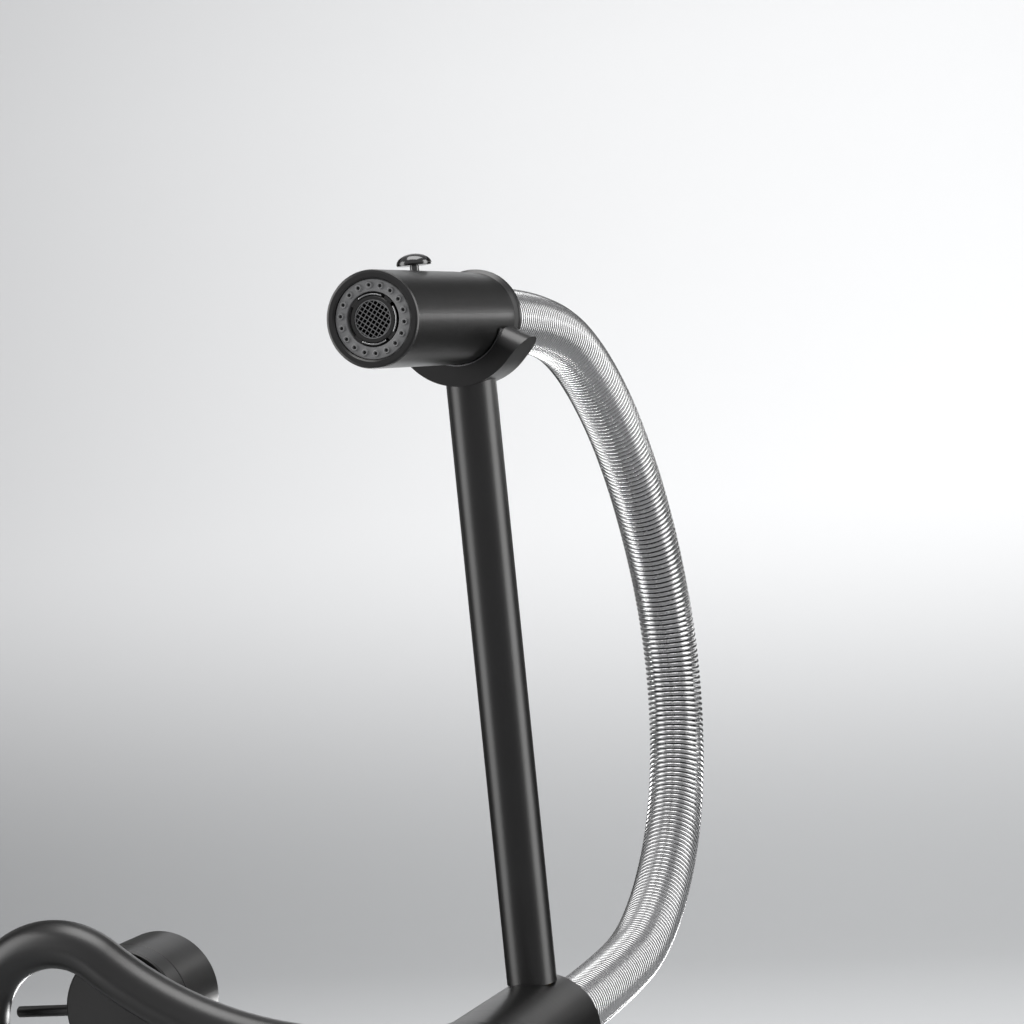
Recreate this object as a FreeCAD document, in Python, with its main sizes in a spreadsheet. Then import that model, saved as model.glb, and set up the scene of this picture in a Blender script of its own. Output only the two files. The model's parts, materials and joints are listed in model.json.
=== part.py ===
"""Kitchen faucet with a pull-down spray head on a spring hose, a straight stem and a side spout.

Frame: millimetres, +Z up. The origin is on the main column's axis, at the top face of the deck
that the faucet stands on. The spray head points towards -Y and the spout towards -X.
"""

import FreeCAD, Part

import math
import os

import Sketcher
from FreeCAD import Placement, Rotation, Vector

DIMENSIONS = {
    # heights above the deck, and places along Y
    "body_axis_height": 120.0,
    "head_axis_height": 436.0,
    "stem_offset": 23.0,
    "clearance": 0.1,
    "running_gap": 0.08,
    # spray head, measured along its own axis from the front rim
    "barrel_radius": 20.0,
    "barrel_length": 96.0,
    "barrel_wall": 3.6,
    "head_front_reach": 109.0,
    "collar_radius": 19.8,
    "collar_length": 23.0,
    "collar_wall": 4.0,
    "bevel_ring_length": 2.0,
    "ferrule_radius": 21.2,
    "ferrule_length": 3.2,
    "face_recess": 1.2,
    "nozzle_plate_radius": 16.3,
    "nozzle_plate_thickness": 4.0,
    "nozzle_circle_radius": 13.8,
    "nozzle_tip_radius": 1.7,
    "nozzle_hole_radius": 0.7,
    "aerator_hole_radius": 11.2,
    "aerator_radius": 9.6,
    "aerator_length": 12.0,
    "mesh_radius": 8.0,
    "mesh_bar": 0.3,
    "mesh_pitch": 1.75,
    "diverter_core_length": 26.0,
    "valve_cylinder_length": 34.0,
    "valve_bore_radius": 4.0,
    "waterway_length": 41.0,
    "button_back": 54.0,
    "button_cap_radius": 7.4,
    "button_cap_height": 5.2,
    "button_gap": 2.0,
    "button_shaft_radius": 1.9,
    "button_foot_radius": 3.4,
    "button_foot_depth": 2.3,
    "button_foot_height": 1.5,
    "button_spring_height": 8.0,
    # cradle and stem
    "cradle_radius": 29.6,
    "cradle_channel_radius": 20.9,
    "cradle_length": 23.0,
    "cradle_tip_reach": 30.5,
    "cradle_tip_drop": 11.36,
    "cradle_tip_rounding": 9.5,
    "cradle_mouth_drop": 6.0,
    "cradle_socket_depth": 6.0,
    "liner_wall": 0.55,
    "stem_radius": 11.0,
    "stem_wall": 1.5,
    "stem_seat_depth": 1.2,
    "screw_radius": 2.5,
    "screw_head_height": 1.5,
    # horizontal mixer body
    "body_radius": 25.0,
    "body_wall": 3.0,
    "body_front_reach": 60.0,
    "body_rear_reach": 37.0,
    "body_cap_thickness": 4.0,
    "neck_radius": 24.0,
    "neck_drop": 36.0,
    "spindle_radius": 4.0,
    "diverter_valve_radius": 9.0,
    "outlet_ferrule_length": 4.2,
    "knob_gap": 0.4,
    "pin_radius": 2.6,
    "diverter_knob_radius": 25.9,
    "diverter_knob_length": 18.0,
    "diverter_pin_length": 20.0,
    # side spout
    "spout_radius": 11.0,
    "spout_wall": 1.2,
    "spout_sweep_start": 75.0,
    "spout_sweep_radius": 190.0,
    "spout_sweep_angle": 40.0,
    "spout_crown_radius": 38.0,
    "spout_drop": 18.0,
    "spout_outlet_length": 14.0,
    "spout_outlet_radius": 12.4,
    # spring hose
    "spring_radius": 14.0,
    "spring_inner_radius": 11.4,
    "inner_hose_radius": 8.0,
    "inner_hose_bore": 5.0,
    # fixed column, flange and deck fixing
    "gasket_thickness": 1.5,
    "flange_radius": 31.0,
    "flange_thickness": 6.0,
    "column_radius": 24.0,
    "column_wall": 3.0,
    "bearing_thickness": 3.0,
    "spigot_radius": 13.0,
    "spigot_rise": 26.0,
    "spigot_root": 16.0,
    "spigot_bore": 8.0,
    "shank_radius": 16.5,
    "shank_bore": 13.0,
    "deck_room": 30.0,
    "thread_length": 40.0,
    "inlet_bore": 2.6,
    "inlet_radius": 4.0,
    "inlet_end_radius": 4.6,
    "inlet_end_length": 12.0,
    "inlet_half_spacing": 7.4,
    "hot_inlet_reach": 16.0,
    "cold_inlet_reach": 44.0,
    # side control
    "control_reach": 196.0,
    "control_back": 41.0,
    "control_axis_height": 139.0,
    "control_pipe_radius": 9.0,
    "control_pipe_wall": 1.4,
    "control_pipe_height": 52.0,
    "control_bend_radius": 30.0,
    "valve_radius": 28.4,
    "valve_wall": 3.0,
    "valve_length": 32.0,
    "control_knob_length": 12.0,
    "cartridge_radius": 17.5,
    "lever_pin_length": 34.0,
}

NOZZLE_COUNT = 18
LUG_COUNT = 4
MESH_ANGLE = 38

# The button's dome, as shares of its cap's radius and height.
DOME = [(0.9, 0), (1, 0.12), (0.94, 0.45), (0.78, 0.7), (0.5, 0.9), (0.22, 0.98)]

# The spring hose's route in the plane x = 0, as (y, z) from the head's ferrule to the body.
HOSE_ROUTE = [
    (38.4, 436.0),
    (109.0, 436.0),
    (180.0, 419.0),
    (249.0, 360.0),
    (289.0, 270.0),
    (272.0, 183.0),
    (202.0, 129.0),
    (118.0, 120.0),
    (41.2, 120.0),
]

document = FreeCAD.newDocument("kitchen_faucet")
sheet = document.addObject("Spreadsheet::Sheet", "sizes")


class Size:
    """A length or angle with its value and the spreadsheet expression that gives it."""

    def __init__(self, text, value):
        self.text = text
        self.value = value

    def _joined(self, other, sign, value):
        return Size(f"({self.text} {sign} {text_of(other)})", value)

    def __add__(self, other):
        return self._joined(other, "+", self.value + value_of(other))

    def __radd__(self, number):
        return self + number

    def __sub__(self, other):
        return self._joined(other, "-", self.value - value_of(other))

    def __mul__(self, other):
        return self._joined(other, "*", self.value * value_of(other))

    def __truediv__(self, other):
        return self._joined(other, "/", self.value / value_of(other))

    def __neg__(self):
        return Size(f"(0 - {self.text})", -self.value)


def value_of(size):
    """The number behind a Size, or the number itself."""
    return size.value if isinstance(size, Size) else float(size)


def text_of(size):
    """The expression behind a Size, or the number as text."""
    return size.text if isinstance(size, Size) else repr(float(size))


class Dimensions:
    """Every cell of the sheet as a Size, under its alias."""

    def __init__(self, cells):
        for row, (alias, number) in enumerate(cells.items(), start=1):
            sheet.set(f"A{row}", alias)
            sheet.set(f"B{row}", str(number))
            sheet.setAlias(f"B{row}", alias)
            setattr(self, alias, Size(f"sizes.{alias}", number))


dim = Dimensions(DIMENSIONS)
document.recompute()

UPRIGHT = Rotation()
ALONG_Y = Rotation(Vector(1, 0, 0), -90)
ALONG_X = Rotation(Vector(0, 1, 0), 90)
ALONG_MINUS_X = Rotation(Vector(0, 1, 0), -90)
MARGIN = 1.0

nodes = {}


def place(item, at, rotation=UPRIGHT):
    """Puts item at a point whose coordinates may be Sizes, and binds those that are."""
    item.Placement = Placement(Vector(*[value_of(part) for part in at]), rotation)
    for name, part in zip("xyz", at):
        if isinstance(part, Size):
            item.setExpression(f"Placement.Base.{name}", part.text)
    return item


def bind(item, **sizes):
    """Sets properties of item, each bound to its sheet expression."""
    for name, size in sizes.items():
        setattr(item, name, value_of(size))
        if isinstance(size, Size):
            item.setExpression(name, size.text)
    return item


def keep(name, item):
    """Records item as a sub-part of the faucet."""
    item.Label = name
    nodes[name] = item
    return item


def cylinder(name, radius, height, at=(0, 0, 0), rotation=UPRIGHT):
    """A Part cylinder whose base circle's centre is at the given point."""
    item = bind(document.addObject("Part::Cylinder", name), Radius=radius, Height=height)
    return place(item, at, rotation)


def box(name, length, width, height, at=(0, 0, 0), rotation=UPRIGHT):
    """A Part box with its first corner at the given point."""
    item = document.addObject("Part::Box", name)
    bind(item, Length=length, Width=width, Height=height)
    return place(item, at, rotation)


def cut(name, base, tool):
    """base with tool taken away."""
    item = document.addObject("Part::Cut", name)
    item.Base = base
    item.Tool = tool
    return item


def fuse(name, shapes):
    """The union of several shapes."""
    item = document.addObject("Part::MultiFuse", name)
    item.Shapes = shapes
    return item


def compound(name, shapes):
    """Several separate solids kept as one sub-part."""
    item = document.addObject("Part::Compound", name)
    item.Links = shapes
    return item


def origin_plane(body, role):
    """One of a body's own origin planes."""
    return next(plane for plane in body.Origin.OriginFeatures if plane.Role == role)


def drive(sketch, constraint, size):
    """Adds a constraint to a sketch and binds it to the size's expression."""
    number = sketch.addConstraint(constraint)
    if isinstance(size, Size):
        sketch.setExpression(f"Constraints[{number}]", size.text)


def drive_point(sketch, line, point):
    """Fixes where a sketch line starts, by its distances from the sketch's two axes."""
    for kind, axis_line, size in (("DistanceX", -2, point[0]), ("DistanceY", -1, point[1])):
        if abs(value_of(size)) < 1e-9:
            sketch.addConstraint(Sketcher.Constraint("PointOnObject", line, 1, axis_line))
        else:
            drive(sketch, Sketcher.Constraint(kind, -1, 1, line, 1, value_of(size)), size)


def turned(name, outline, at=(0, 0, 0), rotation=UPRIGHT):
    """A PartDesign body made by turning an outline of (radius, height) points about its axis."""
    body = document.addObject("PartDesign::Body", name)
    sketch = body.newObject("Sketcher::SketchObject", name + "_outline")
    sketch.AttachmentSupport = (origin_plane(body, "XZ_Plane"), [""])
    sketch.MapMode = "FlatFace"
    points = [Vector(value_of(radius), value_of(height), 0) for radius, height in outline]
    for first, second in zip(points, points[1:] + points[:1]):
        sketch.addGeometry(Part.LineSegment(first, second), False)
    for line, point in enumerate(outline):
        following = (line + 1) % len(outline)
        sketch.addConstraint(Sketcher.Constraint("Coincident", line, 2, following, 1))
        drive_point(sketch, line, point)
    document.recompute()
    revolution = body.newObject("PartDesign::Revolution", name + "_turning")
    revolution.Profile = sketch
    revolution.ReferenceAxis = (sketch, ["V_Axis"])
    revolution.Angle = 360.0
    body.Tip = revolution
    place(body, at, rotation)
    document.recompute()
    return body


def keep_turned(name, outline, at=(0, 0, 0), rotation=UPRIGHT):
    """A turned body that is a sub-part by itself."""
    return keep(name, turned(name, outline, at, rotation))


def tube_outline(outer, inner, length, chamfer=0.0):
    """The outline of a tube, with a chamfer on both outer rims if one is asked for."""
    if chamfer == 0:
        return [(inner, 0), (outer, 0), (outer, length), (inner, length)]
    return [
        (inner, 0),
        (outer - chamfer, 0),
        (outer, chamfer),
        (outer, length - chamfer),
        (outer - chamfer, length),
        (inner, length),
    ]


def swept_tube(name, wire, outer, inner):
    """A tube of the given radii along a wire."""
    start = wire.OrderedVertexes[0].Point
    first = wire.OrderedEdges[0]
    direction = first.tangentAt(first.FirstParameter)

    def pipe(radius):
        section = Part.Wire(Part.makeCircle(value_of(radius), start, direction))
        return wire.makePipeShell([section], True, True)

    item = document.addObject("Part::Feature", name)
    item.Shape = pipe(outer).cut(pipe(inner)).Solids[0]
    section_area = math.pi * (value_of(outer) ** 2 - value_of(inner) ** 2)
    expected = section_area * wire.Length
    print(f"{name}: volume {item.Shape.Volume:.0f}, section times length {expected:.0f}")
    return item


def sheet_value(alias):
    """The number in the sheet's cell of that alias, for shapes made in code."""
    return float(sheet.get(alias))


# ---------------------------------------------------------------- places along the head's axis
head_front = dim.stem_offset - dim.head_front_reach
face_start = head_front + dim.face_recess
core_start = face_start + dim.nozzle_plate_thickness
valve_start = core_start + dim.diverter_core_length
waterway_start = valve_start + dim.valve_cylinder_length
collar_start = head_front + dim.barrel_length
bevel_start = collar_start + dim.collar_length
ferrule_start = bevel_start + dim.bevel_ring_length
button_y = head_front + dim.button_back
barrel_bore = dim.barrel_radius - dim.barrel_wall
axis_z = dim.head_axis_height

# ---------------------------------------------------------------- places up the stem and column
stem_top = axis_z - dim.cradle_radius + dim.cradle_socket_depth - 0.05
screw_top = axis_z - dim.cradle_channel_radius - 0.1
body_z = dim.body_axis_height
column_foot = dim.gasket_thickness + dim.flange_thickness
column_top = body_z - dim.neck_drop - dim.bearing_thickness
control_x = -dim.control_reach
control_z = dim.control_axis_height
valve_face = dim.control_back - dim.valve_length / 2


# ---------------------------------------------------------------- spray head
def head_shells():
    """The barrel, the collar behind it, a thin bevelled ring and the hose's ferrule."""
    rim = 1.2
    barrel = turned(
        "barrel_tube",
        [
            (barrel_bore, rim * 0.6),
            (barrel_bore + rim * 0.6, 0),
            (dim.barrel_radius - rim, 0),
            (dim.barrel_radius - rim * 0.3, rim * 0.3),
            (dim.barrel_radius, rim),
            (dim.barrel_radius, dim.barrel_length),
            (barrel_bore, dim.barrel_length),
        ],
        (0, head_front, axis_z),
        ALONG_Y,
    )
    hole = cylinder(
        "button_hole",
        dim.button_shaft_radius + dim.clearance,
        dim.barrel_radius * 1.5,
        (0, button_y, axis_z),
    )
    keep("head_barrel", cut("head_barrel", barrel, hole))
    collar_bore = dim.collar_radius - dim.collar_wall
    keep_turned(
        "head_rear_collar",
        tube_outline(dim.collar_radius, collar_bore, dim.collar_length, 0.4),
        (0, collar_start, axis_z),
        ALONG_Y,
    )
    bevel = 1.7
    keep_turned(
        "collar_bevel_ring",
        [
            (collar_bore, 0),
            (dim.collar_radius + 0.9 - bevel, 0),
            (dim.collar_radius + 0.9, dim.bevel_ring_length),
            (collar_bore, dim.bevel_ring_length),
        ],
        (0, bevel_start, axis_z),
        ALONG_Y,
    )
    keep_turned(
        "hose_ferrule",
        tube_outline(dim.ferrule_radius, dim.inner_hose_bore, dim.ferrule_length, 0.5),
        (0, ferrule_start, axis_z),
        ALONG_Y,
    )


def nozzle_plate():
    """The soft ring at the head's face: raised tips with small holes, evenly round the aerator."""
    plate = turned(
        "nozzle_ring",
        tube_outline(dim.nozzle_plate_radius, dim.aerator_hole_radius, dim.nozzle_plate_thickness),
        (0, face_start, axis_z),
        ALONG_Y,
    )
    tip_height = 0.8
    tips = []
    holes = []
    for index in range(NOZZLE_COUNT):
        angle = math.radians(360.0 * (index + 0.5) / NOZZLE_COUNT)
        x = dim.nozzle_circle_radius * math.cos(angle)
        z = axis_z + dim.nozzle_circle_radius * math.sin(angle)
        tip = document.addObject("Part::Cone", f"nozzle_tip_{index}")
        bind(
            tip,
            Radius1=dim.nozzle_tip_radius * 0.78,
            Radius2=dim.nozzle_tip_radius,
            Height=tip_height + 0.2,
        )
        tips.append(place(tip, (x, face_start - tip_height, z), ALONG_Y))
        length = dim.nozzle_plate_thickness + 3 * MARGIN
        start = (x, face_start - tip_height - MARGIN, z)
        holes.append(
            cylinder(f"nozzle_hole_{index}", dim.nozzle_hole_radius, length, start, ALONG_Y)
        )
    solid = fuse("nozzle_ring_with_tips", [plate, *tips])
    keep("nozzle_plate", cut("nozzle_plate", solid, compound("nozzle_holes", holes)))


def aerator():
    """The aerator's ring with its four key lugs, and the square grille inside it."""
    start = face_start - 0.3
    ring = turned(
        "aerator_ring",
        tube_outline(dim.aerator_radius, dim.mesh_radius, dim.aerator_length, 0.4),
        (0, start, axis_z),
        ALONG_Y,
    )
    lug_root = sheet_value("mesh_radius") + 0.3
    lug_width = 3.6
    shapes = [ring]
    for index in range(LUG_COUNT):
        turn = Rotation(Vector(0, 1, 0), 45 + 360.0 * index / LUG_COUNT)
        corner = turn.multVec(Vector(lug_root, 0, -lug_width / 2))
        reach = dim.aerator_hole_radius - dim.mesh_radius - 0.6
        at = (corner.x, start + 0.6, axis_z + corner.z)
        shapes.append(box(f"aerator_lug_{index}", reach, 3.0, lug_width, at, turn))
    keep("aerator_housing", fuse("aerator_housing", shapes))

    rim_radius = dim.mesh_radius - dim.clearance
    rim = turned(
        "mesh_rim",
        tube_outline(rim_radius, rim_radius - 0.4, 3.0),
        (0, face_start + 0.1, axis_z),
        ALONG_Y,
    )
    centre = (0, face_start + 0.4, axis_z)
    bars = grille_bars("mesh", sheet_value("mesh_radius") - 0.3, MESH_ANGLE, centre)
    keep("aerator_mesh", fuse("aerator_mesh", [rim, *bars]))


def grille_bars(name, half, angle, centre, tilt=UPRIGHT):
    """Thin bars in two directions across a circle that faces along tilt's Y axis."""
    bars = []
    pitch = sheet_value("mesh_pitch")
    width = sheet_value("mesh_bar")
    steps = int(half / pitch)
    for across in (angle, angle + 90):
        turn = tilt * Rotation(Vector(0, 1, 0), across)
        for step in range(-steps, steps + 1):
            reach = math.sqrt(half**2 - (step * pitch) ** 2)
            corner = turn.multVec(Vector(-reach, 0, step * pitch - width / 2))
            at = (centre[0] + corner.x, centre[1] + corner.y, centre[2] + corner.z)
            label = f"{name}_bar_{across}_{step + steps}"
            bars.append(box(label, 2 * reach, 1.2, dim.mesh_bar, at, turn))
    return bars


def head_inside():
    """The waterways: a core behind the face, the selector's cylinder and the tube to the hose."""
    fit = barrel_bore - dim.clearance
    throat = dim.diverter_core_length - 4
    keep_turned(
        "diverter_core",
        [
            (dim.aerator_radius + dim.clearance, 0),
            (fit, 0),
            (fit, dim.diverter_core_length),
            (dim.inner_hose_bore, dim.diverter_core_length),
            (dim.inner_hose_bore, throat),
            (dim.aerator_radius + dim.clearance, dim.diverter_core_length / 2),
        ],
        (0, core_start, axis_z),
        ALONG_Y,
    )
    blank = turned(
        "valve_cylinder_blank",
        [(0, 0), (fit, 0), (fit, dim.valve_cylinder_length), (0, dim.valve_cylinder_length)],
        (0, valve_start, axis_z),
        ALONG_Y,
    )
    foot_room = barrel_bore - dim.button_foot_depth - dim.button_spring_height
    bore = cylinder(
        "valve_button_bore",
        dim.valve_bore_radius,
        dim.barrel_radius,
        (0, button_y, axis_z + foot_room),
    )
    passage = cylinder(
        "valve_passage",
        dim.inner_hose_bore / 2,
        dim.valve_cylinder_length + 2 * MARGIN,
        (0, valve_start - MARGIN, axis_z - dim.inner_hose_bore * 1.8),
        ALONG_Y,
    )
    holes = fuse("valve_holes", [bore, passage])
    keep("valve_cylinder", cut("valve_cylinder", blank, holes))
    keep_turned(
        "head_waterway",
        tube_outline(dim.inner_hose_radius, dim.inner_hose_bore, dim.waterway_length, 0.3),
        (0, waterway_start, axis_z),
        ALONG_Y,
    )
    seat = dim.inner_hose_bore - dim.clearance
    keep_turned(
        "check_valve",
        [(0, 0), (seat, 0), (seat, 8), (seat * 0.5, 11), (0, 11)],
        (0, waterway_start + 6, axis_z),
        ALONG_Y,
    )
    keep_turned(
        "head_o_ring",
        tube_outline(barrel_bore - dim.clearance, dim.inner_hose_radius + 0.1, 2.4, 0.8),
        (0, waterway_start + 2, axis_z),
        ALONG_Y,
    )


def mode_button():
    """A domed push button whose shaft goes through the barrel to a foot held up by a spring."""
    cap = dim.button_cap_radius
    height = dim.button_cap_height
    shaft = dim.button_shaft_radius
    foot = dim.button_foot_radius
    underside = dim.button_foot_depth + dim.barrel_wall + dim.button_gap
    dome = [(cap * across, underside + height * up) for across, up in DOME]
    keep_turned(
        "mode_button",
        [
            (0, 0),
            (foot, 0),
            (foot, dim.button_foot_height),
            (shaft, dim.button_foot_height),
            (shaft, underside),
            *dome,
            (0, underside + height),
        ],
        (0, button_y, axis_z + barrel_bore - dim.button_foot_depth),
    )
    keep_turned(
        "button_spring",
        tube_outline(foot, foot - 0.8, dim.button_spring_height),
        (0, button_y, axis_z + barrel_bore - dim.button_foot_depth - dim.button_spring_height),
    )


# ---------------------------------------------------------------- cradle and stem
def cradle():
    """A saddle: a round underside, two arms that flare up to rounded tips, and a round channel."""
    name = "cradle"
    body = document.addObject("PartDesign::Body", name + "_block")
    sketch = body.newObject("Sketcher::SketchObject", name + "_profile")
    sketch.AttachmentSupport = (origin_plane(body, "XZ_Plane"), [""])
    sketch.MapMode = "FlatFace"
    radius = sheet_value("cradle_radius")
    tip = Vector(sheet_value("cradle_tip_reach"), -sheet_value("cradle_tip_drop"), 0)
    mouth = Vector(sheet_value("cradle_channel_radius"), -sheet_value("cradle_mouth_drop"), 0)
    foot = Vector(radius * math.sqrt(0.5), -radius * math.sqrt(0.5), 0)

    def mirrored(point):
        return Vector(-point.x, point.y, 0)

    circle = Part.Circle(Vector(0, 0, 0), Vector(0, 0, 1), radius)
    sketch.addGeometry(Part.ArcOfCircle(circle, math.radians(225), math.radians(315)), False)
    corners = [foot, tip, mouth, mirrored(mouth), mirrored(tip), mirrored(foot)]
    for first, second in zip(corners, corners[1:]):
        sketch.addGeometry(Part.LineSegment(first, second), False)
    for line in range(1, 5):
        sketch.addConstraint(Sketcher.Constraint("Coincident", line, 2, line + 1, 1))
    sketch.addConstraint(Sketcher.Constraint("Coincident", 0, 3, -1, 1))
    sketch.addConstraint(Sketcher.Constraint("Tangent", 0, 2, 1, 1))
    sketch.addConstraint(Sketcher.Constraint("Tangent", 0, 1, 5, 2))
    drive(sketch, Sketcher.Constraint("Radius", 0, radius), dim.cradle_radius)
    for line, side in ((2, 1), (5, -1)):
        drive_point(sketch, line, (dim.cradle_tip_reach * side, -dim.cradle_tip_drop))
    for line, side in ((3, 1), (4, -1)):
        drive_point(sketch, line, (dim.cradle_channel_radius * side, -dim.cradle_mouth_drop))
    document.recompute()
    pad = body.newObject("PartDesign::Pad", name + "_pad")
    pad.Profile = sketch
    pad.SideType = "Symmetric"
    bind(pad, Length=dim.cradle_length)
    document.recompute()
    rounding = body.newObject("PartDesign::Fillet", name + "_tip_rounding")
    facet_middle = (tip.x + mouth.x) / 2
    tips = [
        f"Edge{number}"
        for number, edge in enumerate(pad.Shape.Edges, start=1)
        if abs(abs(edge.CenterOfMass.x) - facet_middle) < 0.01
    ]
    rounding.Base = (pad, tips)
    bind(rounding, Radius=dim.cradle_tip_rounding)
    body.Tip = rounding
    place(body, (0, dim.stem_offset, axis_z))
    document.recompute()
    channel = cylinder(
        "cradle_channel",
        dim.cradle_channel_radius,
        dim.cradle_length * 2,
        (0, dim.stem_offset - dim.cradle_length, axis_z),
        ALONG_Y,
    )
    socket = cylinder(
        "cradle_socket",
        dim.stem_radius + 0.05,
        dim.cradle_socket_depth + dim.cradle_radius,
        (0, dim.stem_offset, axis_z - dim.cradle_radius * 2),
    )
    screw_hole = cylinder(
        "cradle_screw_hole",
        dim.screw_radius + 0.05,
        dim.cradle_radius,
        (0, dim.stem_offset, axis_z - dim.cradle_radius),
    )
    countersink = document.addObject("Part::Cone", "cradle_countersink")
    bind(
        countersink,
        Radius1=dim.screw_radius + 0.05,
        Radius2=dim.screw_radius * 1.6 + 0.05,
        Height=dim.screw_head_height,
    )
    place(countersink, (0, dim.stem_offset, screw_top - dim.screw_head_height))
    holes = fuse("cradle_holes", [channel, socket, screw_hole, countersink])
    keep(name, cut(name, body, holes))

    liner_bore = dim.cradle_channel_radius - dim.liner_wall
    ring = turned(
        "liner_ring",
        tube_outline(dim.cradle_channel_radius - 0.02, liner_bore, dim.cradle_length - 1),
        (0, dim.stem_offset - dim.cradle_length / 2 + 0.5, axis_z),
        ALONG_Y,
    )
    liner_top = axis_z - dim.cradle_mouth_drop - 0.5
    opening = box(
        "liner_opening",
        dim.barrel_radius * 4,
        dim.cradle_length * 2,
        dim.barrel_radius * 2,
        (-dim.barrel_radius * 2, dim.stem_offset - dim.cradle_length, liner_top),
    )
    keep("cradle_liner", cut("cradle_liner", ring, opening))


def stem():
    """The tall tube, plugged at the top for the cradle's screw and at the foot for its stud."""
    foot = dim.body_axis_height + dim.body_radius - dim.stem_seat_depth
    bore = dim.stem_radius - dim.stem_wall
    keep_turned(
        "stem",
        tube_outline(dim.stem_radius, bore, stem_top - foot),
        (0, dim.stem_offset, foot),
    )
    plug_length = 14.0
    screw_length = screw_top - stem_top + plug_length
    plug = bore - dim.clearance
    keep_turned(
        "stem_top_plug",
        tube_outline(plug, dim.screw_radius + 0.05, plug_length, 0.3),
        (0, dim.stem_offset, stem_top - plug_length),
    )
    keep_turned(
        "cradle_screw",
        [
            (0, 0),
            (dim.screw_radius, 0),
            (dim.screw_radius, screw_length - dim.screw_head_height),
            (dim.screw_radius * 1.6, screw_length),
            (0, screw_length),
        ],
        (0, dim.stem_offset, stem_top - plug_length),
    )
    keep_turned(
        "stem_foot_stud",
        tube_outline(plug, plug - 3, 16, 0.3),
        (0, dim.stem_offset, foot - 4),
    )


# ---------------------------------------------------------------- mixer body
def mixer_body():
    """A horizontal tube with a neck under it, bored for the stem, the spout and the swivel."""
    front = -dim.body_front_reach
    rear = dim.body_rear_reach
    bore = dim.body_radius - dim.body_wall
    barrel = cylinder("body_barrel", dim.body_radius, rear - front, (0, front, body_z), ALONG_Y)
    neck = cylinder("body_neck", dim.neck_radius, dim.neck_drop, (0, 0, body_z - dim.neck_drop))
    hollow = cylinder(
        "body_hollow",
        bore,
        rear - front + 2 * MARGIN,
        (0, front - MARGIN, body_z),
        ALONG_Y,
    )
    holes = [
        hollow,
        cylinder(
            "body_stem_seat",
            dim.stem_radius + 0.05,
            dim.body_radius,
            (0, dim.stem_offset, body_z + dim.body_radius - dim.stem_seat_depth),
        ),
        cylinder(
            "body_stud_hole",
            dim.stem_radius - dim.stem_wall,
            dim.body_radius,
            (0, dim.stem_offset, body_z + 4),
        ),
        cylinder(
            "body_spout_hole",
            dim.spout_radius + 0.05,
            dim.body_radius,
            (-dim.body_radius * 1.8, 0, body_z),
            ALONG_X,
        ),
        cylinder(
            "body_spigot_bore",
            dim.spigot_radius + dim.running_gap,
            dim.neck_drop,
            (0, 0, body_z - dim.neck_drop - MARGIN),
        ),
    ]
    solid = fuse("body_blank", [barrel, neck])
    keep("mixer_body", cut("mixer_body", solid, fuse("body_holes", holes)))

    cap = dim.body_cap_thickness
    front_bore = dim.spindle_radius + dim.running_gap
    keep_turned(
        "body_front_cap",
        tube_outline(bore - dim.clearance, front_bore, cap, 0.2),
        (0, front, body_z),
        ALONG_Y,
    )
    keep_turned(
        "body_rear_cap",
        tube_outline(bore - dim.clearance, dim.inner_hose_bore, cap, 0.2),
        (0, rear - cap, body_z),
        ALONG_Y,
    )
    keep_turned(
        "hose_outlet_ferrule",
        tube_outline(dim.spring_radius + 2, dim.inner_hose_bore, dim.outlet_ferrule_length, 0.5),
        (0, rear, body_z),
        ALONG_Y,
    )
    seat_start = front + cap + 3
    keep_turned(
        "diverter_seat",
        tube_outline(bore - dim.clearance, dim.diverter_valve_radius + dim.running_gap, 12, 0.4),
        (0, seat_start, body_z),
        ALONG_Y,
    )


def diverter():
    """The round knob on the body's front, the pin it is turned by, and the valve on its spindle."""
    radius = dim.diverter_knob_radius
    length = dim.diverter_knob_length
    socket = 8.0
    start = -dim.body_front_reach - dim.knob_gap - length
    knob = turned(
        "diverter_knob_blank",
        [
            (0, 0),
            (radius - 1.2, 0),
            (radius, 1.2),
            (radius, length - 0.6),
            (radius - 0.6, length),
            (dim.spindle_radius, length),
            (dim.spindle_radius, length - socket),
            (0, length - socket),
        ],
        (0, start, body_z),
        ALONG_Y,
    )
    middle = start + length / 2
    pin_at = (radius - 6, middle, body_z)
    hole = cylinder("diverter_pin_hole", dim.pin_radius, radius, pin_at, ALONG_X)
    keep("diverter_knob", cut("diverter_knob", knob, hole))
    keep_turned("diverter_pin", pin_outline(dim.diverter_pin_length), pin_at, ALONG_X)
    front = socket + dim.knob_gap + dim.body_cap_thickness
    valve = dim.diverter_valve_radius
    keep_turned(
        "diverter_spindle",
        [
            (0, 0),
            (dim.spindle_radius, 0),
            (dim.spindle_radius, front + 1),
            (valve, front + 1.5),
            (valve, front + 14),
            (0, front + 14),
        ],
        (0, -dim.body_front_reach - dim.knob_gap - socket, body_z),
        ALONG_Y,
    )


def pin_outline(length):
    """A plain round pin with a small chamfer on its free end."""
    return [
        (0, 0),
        (dim.pin_radius, 0),
        (dim.pin_radius, length - 0.6),
        (dim.pin_radius - 0.6, length),
        (0, length),
    ]


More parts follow.
